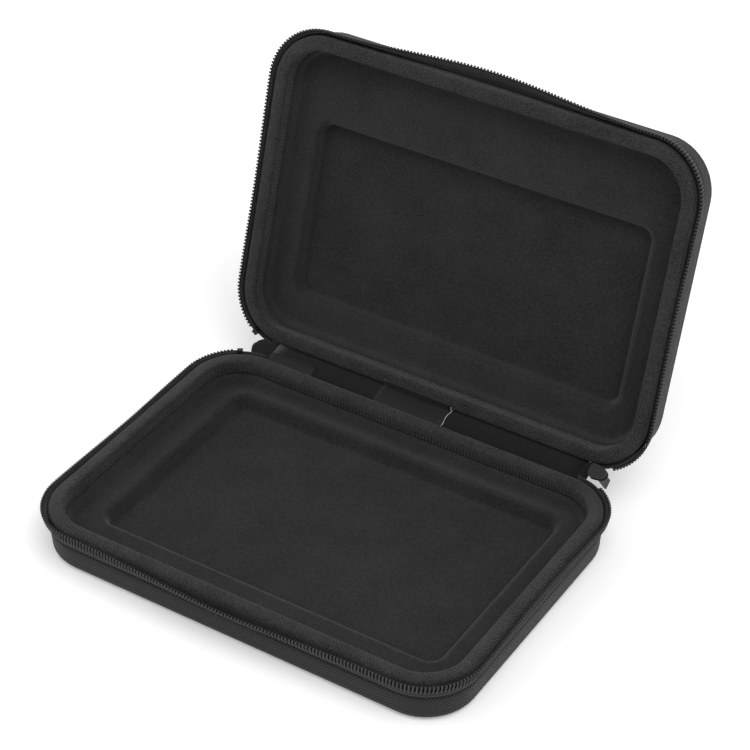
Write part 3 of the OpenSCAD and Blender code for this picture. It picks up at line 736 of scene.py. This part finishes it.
pale_thread, tree, shader = new_material("pale thread", 0.6, 0.4, 0.2)
grain = grain_node(tree, 4000.0, 500.0)
colour_between(tree, grain.outputs["Fine"], (0.45, 0.45, 0.44), (0.7, 0.7, 0.68), shader)
raise_surface(tree, grain.outputs["Fine"], 0.00004, 0.5, shader)
path = valley(thread_lift)[3:13] + [lid_point(y + 0.25, z + 0.25) for y, z in shoulder[:5]]
sway = [0.3 * math.sin(i * 0.9) for i in range(len(path))]
bm = bmesh.new()
thread_start = Matrix.Translation((label_right + 0.2, *path[0]))
bmesh.ops.create_circle(bm, cap_ends=True, radius=0.14, segments=8, matrix=thread_start)
top = bm.faces[:]
for i in range(1, len(path)):
    grown = bmesh.ops.extrude_face_region(bm, geom=top)["geom"]
    if i > 1:
        bmesh.ops.delete(bm, geom=top, context="FACES_ONLY")
    step = Vector((sway[i] - sway[i - 1], *(path[i] - path[i - 1])))
    bmesh.ops.translate(bm, vec=step, verts=[g for g in grown if isinstance(g, bmesh.types.BMVert)])
    top = [g for g in grown if isinstance(g, bmesh.types.BMFace)]
bmesh.ops.recalc_face_normals(bm, faces=bm.faces)
bend_piece(bm, "label_thread", pale_thread, [])

# ---------------------------------------------------------------- Fabric ends
# Short tabs of folded tape close the hinge up to the zip's ends. The left one is rounded, and the
# right one ends at the slider.
tab_from = 93.2
for name, side, length in (("left", -1, 13.0), ("right", 1, 4.0)):
    path = valley(-0.3)[2:-2]
    ends = sorted((side * tab_from, side * (tab_from + length)))
    bm = cloth_strip(path, *ends, 10)
    if name == "left":
        middle = path[len(path) // 2]
        for vert in bm.verts:
            past = max(0.0, (abs(vert.co.x) - tab_from - length / 2) / (length / 2))
            squeeze = math.sqrt(max(0.02, 1 - min(1.0, past) ** 2.2))
            vert.co.y = middle.x + (vert.co.y - middle.x) * squeeze
            vert.co.z = middle.y + (vert.co.z - middle.y) * squeeze
    bend_piece(bm, "hinge_tab_" + name, hinge_tape_painted_dark, ["hinge_end_" + name], thickness=1.0)

# ---------------------------------------------------------------- Slider and pull
# Die-cast slider, enamelled black, parked at the right end of the zip. Its bridge holds the eye of
# a flat pull tab that hangs outside the case.
enamel, tree, shader = new_material("black enamel", 0.5, 0.25)
grain = grain_node(tree, 600.0, 80.0)
colour_between(tree, grain.outputs["Drift"], (0.006, 0.006, 0.0062), (0.014, 0.014, 0.0145), shader)
raise_surface(tree, grain.outputs["Fine"], 0.00004, 0.3, shader)
for name in ("slider_body", "slider_bridge", "pull_tab"):
    dress(name, enamel)

# ---------------------------------------------------------------- Floor, lamps and world
# A pale studio floor and an even white surround, with one large soft lamp high on the right and two
# weaker ones on the left and behind. The camera sees the floor and the surround as white.
floor_data = bmesh.new()
bmesh.ops.create_grid(floor_data, x_segments=1, y_segments=1, size=6.0)
floor_mesh = bpy.data.meshes.new("floor")
floor_data.to_mesh(floor_mesh)
floor_data.free()
floor = bpy.data.objects.new("floor", floor_mesh)
floor.location = (0, 0, -0.0002)
scene.collection.objects.link(floor)


def seen_as_background(tree):
    """1 for rays from the camera, off gloss and through glass, and 0 for the light on the object."""
    ray = tree.nodes.new("ShaderNodeLightPath")
    clear = calc(tree, "MAXIMUM", ray.outputs["Is Glossy Ray"], ray.outputs["Is Transmission Ray"])
    return calc(tree, "MAXIMUM", ray.outputs["Is Camera Ray"], clear)


paper, tree, shader = new_material("floor paper", 0.9, 0.2)
grain = grain_node(tree, 800.0, 3.0)
colour_between(tree, grain.outputs["Drift"], (0.965, 0.965, 0.965), (0.985, 0.985, 0.985), shader)
shader.inputs["Emission Color"].default_value = (1, 1, 1, 1)
floor_glow = calc(tree, "MULTIPLY", seen_as_background(tree), 0.22)
tree.links.new(floor_glow, shader.inputs["Emission Strength"])
floor_mesh.materials.append(paper)

lamps_aim = Vector((0, 0.06, 0.05))
for name, size, power, where in (("key", 1.6, 27.0, (1.0, -0.5, 2.0)), ("fill", 1.4, 9.0, (-1.6, -1.1, 1.2)),
                                 ("back", 1.2, 5.0, (-0.3, 1.8, 1.6))):
    lamp_data = bpy.data.lights.new(name, "AREA")
    lamp_data.size = size
    lamp_data.energy = power
    lamp = bpy.data.objects.new(name, lamp_data)
    lamp.location = where
    lamp.rotation_euler = (Vector(where) - lamps_aim).to_track_quat("Z", "Y").to_euler()
    scene.collection.objects.link(lamp)

world = bpy.data.worlds.new("surround")
scene.world = world
world.use_nodes = True
tree = world.node_tree
sky = tree.nodes["Background"]
sky.inputs["Color"].default_value = (1, 1, 1, 1)
tree.links.new(calc(tree, "MULTIPLY_ADD", seen_as_background(tree), 0.5, 0.5), sky.inputs["Strength"])

scene.view_settings.view_transform = "Standard"
